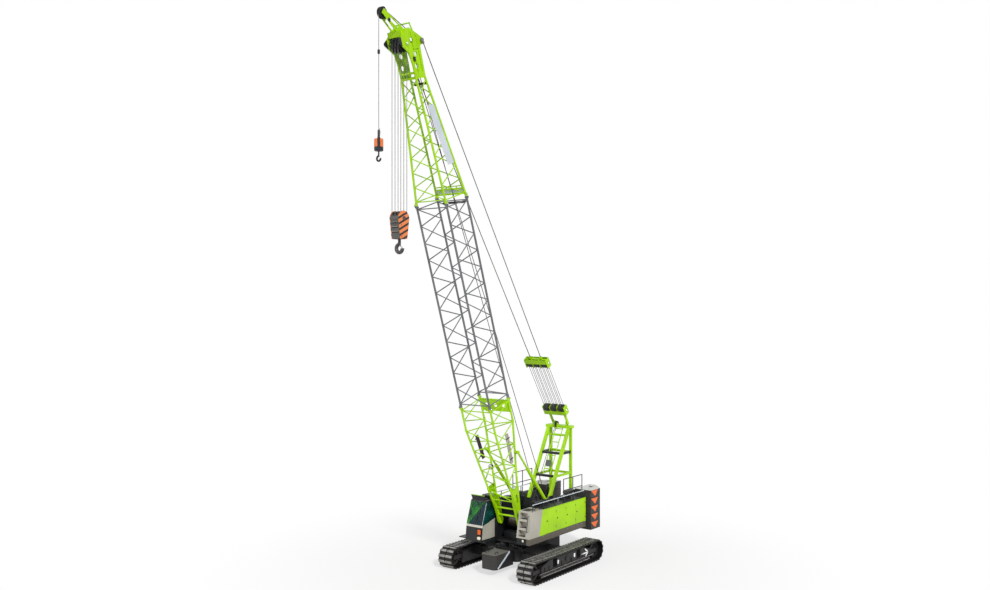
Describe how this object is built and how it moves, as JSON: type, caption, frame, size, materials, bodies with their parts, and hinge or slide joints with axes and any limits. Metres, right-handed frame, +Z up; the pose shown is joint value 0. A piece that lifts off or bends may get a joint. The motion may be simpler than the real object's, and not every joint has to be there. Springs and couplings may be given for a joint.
{
  "type": "crawler crane",
  "caption": "Lattice-boom crane on two tracks: slewing house with cab and counterweight, gantry and stays, main hook block and single-line hook.",
  "frame": {"origin": "on the slewing axis at the ground between the tracks", "axes": "+X forward to the boom side, +Y to the operator's left, +Z up"},
  "size_m": [14.0949, 5.1, 23.2946],
  "materials": {
    "lime_paint": "gloss",
    "grey_paint": "satin",
    "pale_paint": "satin",
    "dark_paint": "satin",
    "skirt_paint": "satin",
    "weight_paint": "satin",
    "track_steel": "worn",
    "wheel_steel": "worn",
    "bright_steel": "satin",
    "rope_steel": "laid wire",
    "nylon": "moulded",
    "orange_paint": "gloss",
    "cab_glass": "tinted",
    "seat_cloth": "woven"
  },
  "bodies": {
    "undercarriage": {"carbody_frame": "dark_paint", "carbody_ballast": "dark_paint", "slew_ring": "bright_steel"},
    "left_track": {"left_track_belt": "track_steel", "left_track_frame": "dark_paint", "left_track_wheels": "wheel_steel"},
    "right_track": {"right_track_belt": "track_steel", "right_track_frame": "dark_paint", "right_track_wheels": "wheel_steel"},
    "house": {"turntable_frame": "skirt_paint", "left_house": "lime_paint", "left_house_nose": "pale_paint", "right_house": "lime_paint", "engine_block": "dark_paint", "counterweight_base": "weight_paint", "counterweight_slabs": "weight_paint", "gantry_frame": "lime_paint", "winch_drums": "dark_paint", "handrails": "grey_paint", "right_walkway": "dark_paint", "cab_floor": "dark_paint", "cab_roof": "lime_paint", "cab_front": "dark_paint", "cab_rear": "dark_paint", "cab_inner_side": "pale_paint", "cab_outer_side": "pale_paint", "cab_glass": "cab_glass", "cab_seat": "seat_cloth"},
    "cab_door": {"cab_door": "pale_paint", "cab_door_glass": "cab_glass"},
    "boom": {"boom_base": "lime_paint", "boom_insert": "grey_paint", "boom_top": "lime_paint", "boom_head": "lime_paint", "head_sheaves": "nylon", "tip_extension": "lime_paint", "tip_sheave": "nylon"},
    "spreader": {"spreader_frame": "lime_paint", "spreader_sheaves": "nylon"},
    "stays": {"bridle_frame": "lime_paint", "bridle_sheaves": "nylon", "pendants": "rope_steel"},
    "backstop_tube": {"backstop_tubes": "lime_paint"},
    "backstop_rod": {"backstop_rods": "bright_steel"},
    "main_rope": {"main_falls": "rope_steel"},
    "main_block": {"hook_block": "grey_paint", "hook_block_sheaves": "nylon"},
    "main_hook": {"main_hook": "wheel_steel"},
    "aux_rope": {"aux_fall": "rope_steel"},
    "aux_block": {"aux_weight": "orange_paint"},
    "aux_hook": {"aux_hook": "wheel_steel"},
    "left_door_1": {"left_door_1": "lime_paint"},
    "left_door_2": {"left_door_2": "lime_paint"},
    "left_door_3": {"left_door_3": "lime_paint"},
    "left_door_4": {"left_door_4": "lime_paint"},
    "right_door_1": {"right_door_1": "lime_paint"},
    "right_door_2": {"right_door_2": "lime_paint"}
  },
  "joints": [
    {"name": "slew", "type": "hinge", "parent": "undercarriage", "child": "house", "pos_m": [0, 0, 1.2], "axis": [0, 0, 1], "continuous": true},
    {"name": "left_track_retract", "type": "slide", "parent": "undercarriage", "child": "left_track", "axis": [0, -1, 0], "range_m": [0, 0.7]},
    {"name": "right_track_retract", "type": "slide", "parent": "undercarriage", "child": "right_track", "axis": [0, 1, 0], "range_m": [0, 0.7]},
    {"name": "boom_luff", "type": "hinge", "parent": "house", "child": "boom", "pos_m": [0.96, 0, 2.1], "axis": [0, 1, 0], "range_deg": [-8.7, 41.3]},
    {"name": "spreader_swing", "type": "hinge", "parent": "house", "child": "spreader", "pos_m": [-3.2, 0, 6.17], "axis": [0, 1, 0], "range_deg": [-8.73, 40.72]},
    {"name": "stay_reach", "type": "slide", "parent": "spreader", "child": "stays", "axis": [0.55, 0, 0.8351], "range_m": [-0.8776, 4.1287]},
    {"name": "backstop_swing", "type": "hinge", "parent": "house", "child": "backstop_tube", "pos_m": [-0.56, 0, 2.96], "axis": [0, 1, 0], "range_deg": [-7.23, 33.55]},
    {"name": "backstop_reach", "type": "slide", "parent": "backstop_tube", "child": "backstop_rod", "axis": [0.66, 0, 0.7513], "range_m": [-0.2437, 1.138]},
    {"name": "main_rope_swing", "type": "hinge", "parent": "boom", "child": "main_rope", "pos_m": [8.24962, 0, 22.02995], "axis": [0, 1, 0], "range_deg": [-41.5, 8.9]},
    {"name": "main_hoist", "type": "slide", "parent": "main_rope", "child": "main_block", "axis": [0, 0, 1], "range_m": [-13.6, 3.4], "deforming": ["main_falls"]},
    {"name": "main_hook_swivel", "type": "hinge", "parent": "main_block", "child": "main_hook", "pos_m": [8.24962, 0, 14.4], "axis": [0, 0, 1], "continuous": true},
    {"name": "aux_rope_swing", "type": "hinge", "parent": "boom", "child": "aux_rope", "pos_m": [9.19991, 0, 23.05963], "axis": [0, 1, 0], "range_deg": [-41.5, 8.9]},
    {"name": "aux_hoist", "type": "slide", "parent": "aux_rope", "child": "aux_block", "axis": [0, 0, 1], "range_m": [-17, 2.8], "deforming": ["aux_fall"]},
    {"name": "aux_hook_swivel", "type": "hinge", "parent": "aux_block", "child": "aux_hook", "pos_m": [9.39991, 0, 17.7], "axis": [0, 0, 1], "continuous": true},
    {"name": "cab_door_slide", "type": "slide", "parent": "house", "child": "cab_door", "axis": [-1, 0, 0], "range_m": [0, 0.7]},
    {"name": "left_door_1_hinge", "type": "hinge", "parent": "house", "child": "left_door_1", "pos_m": [-2.915, 1.575, 2.2], "axis": [0, 0, 1], "range_deg": [0, 100]},
    {"name": "left_door_2_hinge", "type": "hinge", "parent": "house", "child": "left_door_2", "pos_m": [-2.087, 1.575, 2.2], "axis": [0, 0, 1], "range_deg": [0, 100]},
    {"name": "left_door_3_hinge", "type": "hinge", "parent": "house", "child": "left_door_3", "pos_m": [-1.259, 1.575, 2.2], "axis": [0, 0, 1], "range_deg": [0, 100]},
    {"name": "left_door_4_hinge", "type": "hinge", "parent": "house", "child": "left_door_4", "pos_m": [-0.431, 1.575, 2.2], "axis": [0, 0, 1], "range_deg": [0, 100]},
    {"name": "right_door_1_hinge", "type": "hinge", "parent": "house", "child": "right_door_1", "pos_m": [-2.915, -1.575, 2.2], "axis": [0, 0, -1], "range_deg": [0, 100]},
    {"name": "right_door_2_hinge", "type": "hinge", "parent": "house", "child": "right_door_2", "pos_m": [-1.615, -1.575, 2.2], "axis": [0, 0, -1], "range_deg": [0, 100]}
  ],
  "couplings": [
    {"joint": "spreader_swing", "follows": "boom_luff", "ratio": 0.981},
    {"joint": "stay_reach", "follows": "boom_luff", "m_per_rad": 5.7138},
    {"joint": "backstop_swing", "follows": "boom_luff", "ratio": 0.80751},
    {"joint": "backstop_reach", "follows": "boom_luff", "m_per_rad": 1.5719},
    {"joint": "main_rope_swing", "follows": "boom_luff", "ratio": -1},
    {"joint": "aux_rope_swing", "follows": "boom_luff", "ratio": -1}
  ]
}
